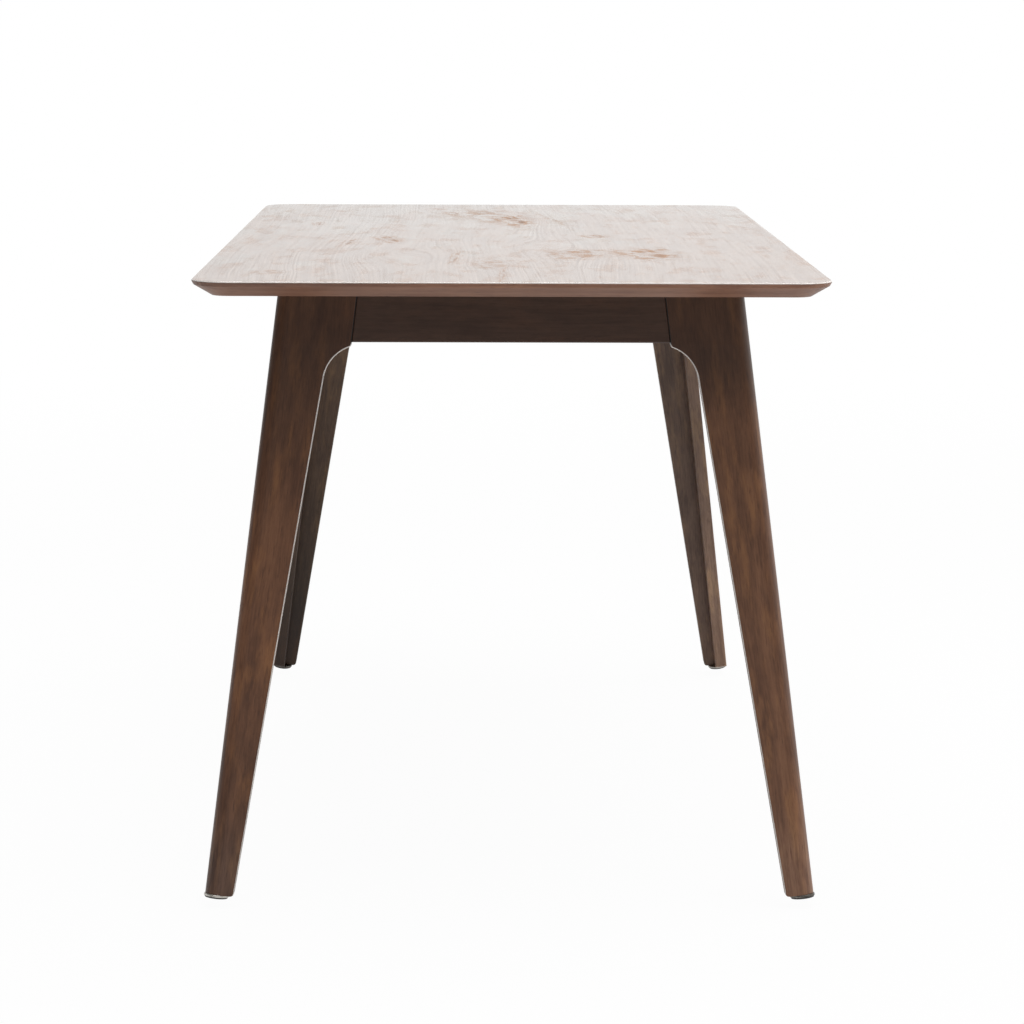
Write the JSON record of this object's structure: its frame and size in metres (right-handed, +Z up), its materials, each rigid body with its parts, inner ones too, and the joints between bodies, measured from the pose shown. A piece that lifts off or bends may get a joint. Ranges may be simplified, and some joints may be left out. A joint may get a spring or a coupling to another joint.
{
  "type": "dining table",
  "caption": "Rectangular dining table with an overhanging top bevelled to a thin rim, set-in aprons, splayed tapered L-section corner legs and screw-out levelling feet.",
  "frame": {"origin": "on the floor under the middle of the top", "axes": "+Z up, +Y along the table's length towards its back end, +X across it to the right"},
  "size_m": [0.75, 1.4, 0.75],
  "materials": {
    "top_veneer": "figured brown veneer under satin lacquer",
    "back_veneer": "plain brown veneer, thin seal coat",
    "core_board": "raw pressed board",
    "lipping_wood": "brown stained hardwood, satin lacquer",
    "apron_wood": "dark brown stained hardwood, satin lacquer",
    "leg_wood": "dark brown stained hardwood, satin lacquer",
    "frame_wood": "planed pale hardwood, unfinished",
    "dowel_wood": "fluted beech, unfinished",
    "zinc_steel": "zinc plated",
    "brass": "machined",
    "nickel": "nickel plated",
    "glide_plastic": "moulded, dark grey"
  },
  "bodies": {
    "table": {"top_face_veneer": "top_veneer", "top_back_veneer": "back_veneer", "top_core": "core_board", "top_lipping_front": "lipping_wood", "top_lipping_right": "lipping_wood", "top_lipping_back": "lipping_wood", "top_lipping_left": "lipping_wood", "apron_front": "apron_wood", "apron_right": "apron_wood", "apron_back": "apron_wood", "apron_left": "apron_wood", "leg_front_left_side_wing": "leg_wood", "leg_front_left_end_wing": "leg_wood", "leg_front_left_post": "frame_wood", "corner_brace_front_left": "frame_wood", "leg_front_right_side_wing": "leg_wood", "leg_front_right_end_wing": "leg_wood", "leg_front_right_post": "frame_wood", "corner_brace_front_right": "frame_wood", "leg_back_left_side_wing": "leg_wood", "leg_back_left_end_wing": "leg_wood", "leg_back_left_post": "frame_wood", "corner_brace_back_left": "frame_wood", "leg_back_right_side_wing": "leg_wood", "leg_back_right_end_wing": "leg_wood", "leg_back_right_post": "frame_wood", "corner_brace_back_right": "frame_wood", "centre_rail": "frame_wood", "apron_dowels": "dowel_wood", "rail_dowels": "dowel_wood", "brace_screws": "zinc_steel", "top_screws": "zinc_steel", "hanger_bolts": "zinc_steel", "bolt_washers": "zinc_steel", "bolt_nuts": "zinc_steel", "foot_inserts": "brass"},
    "front_left_pad": {"foot_cup_front_left": "nickel", "foot_glide_front_left": "glide_plastic"},
    "front_left_stem": {"foot_stem_front_left": "nickel"},
    "front_right_pad": {"foot_cup_front_right": "nickel", "foot_glide_front_right": "glide_plastic"},
    "front_right_stem": {"foot_stem_front_right": "nickel"},
    "back_left_pad": {"foot_cup_back_left": "nickel", "foot_glide_back_left": "glide_plastic"},
    "back_left_stem": {"foot_stem_back_left": "nickel"},
    "back_right_pad": {"foot_cup_back_right": "nickel", "foot_glide_back_right": "glide_plastic"},
    "back_right_stem": {"foot_stem_back_right": "nickel"}
  },
  "joints": [
    {"name": "front_left_foot_travel", "type": "slide", "parent": "table", "child": "front_left_pad", "axis": [-0.121, -0.121, -0.9853], "range_m": [0, 0.008]},
    {"name": "front_left_stem_turn", "type": "hinge", "parent": "front_left_pad", "child": "front_left_stem", "pos_m": [-0.35391, -0.65991, 0.0069], "axis": [-0.121, -0.121, -0.9853], "continuous": true},
    {"name": "front_right_foot_travel", "type": "slide", "parent": "table", "child": "front_right_pad", "axis": [0.121, -0.121, -0.9853], "range_m": [0, 0.008]},
    {"name": "front_right_stem_turn", "type": "hinge", "parent": "front_right_pad", "child": "front_right_stem", "pos_m": [0.35391, -0.65991, 0.0069], "axis": [0.121, -0.121, -0.9853], "continuous": true},
    {"name": "back_left_foot_travel", "type": "slide", "parent": "table", "child": "back_left_pad", "axis": [-0.121, 0.121, -0.9853], "range_m": [0, 0.008]},
    {"name": "back_left_stem_turn", "type": "hinge", "parent": "back_left_pad", "child": "back_left_stem", "pos_m": [-0.35391, 0.65991, 0.0069], "axis": [-0.121, 0.121, -0.9853], "continuous": true},
    {"name": "back_right_foot_travel", "type": "slide", "parent": "table", "child": "back_right_pad", "axis": [0.121, 0.121, -0.9853], "range_m": [0, 0.008]},
    {"name": "back_right_stem_turn", "type": "hinge", "parent": "back_right_pad", "child": "back_right_stem", "pos_m": [0.35391, 0.65991, 0.0069], "axis": [0.121, 0.121, -0.9853], "continuous": true}
  ],
  "couplings": [
    {"joint": "front_left_stem_turn", "follows": "front_left_foot_travel", "rad_per_m": 6283.2},
    {"joint": "front_right_stem_turn", "follows": "front_right_foot_travel", "rad_per_m": 6283.2},
    {"joint": "back_left_stem_turn", "follows": "back_left_foot_travel", "rad_per_m": 6283.2},
    {"joint": "back_right_stem_turn", "follows": "back_right_foot_travel", "rad_per_m": 6283.2}
  ]
}
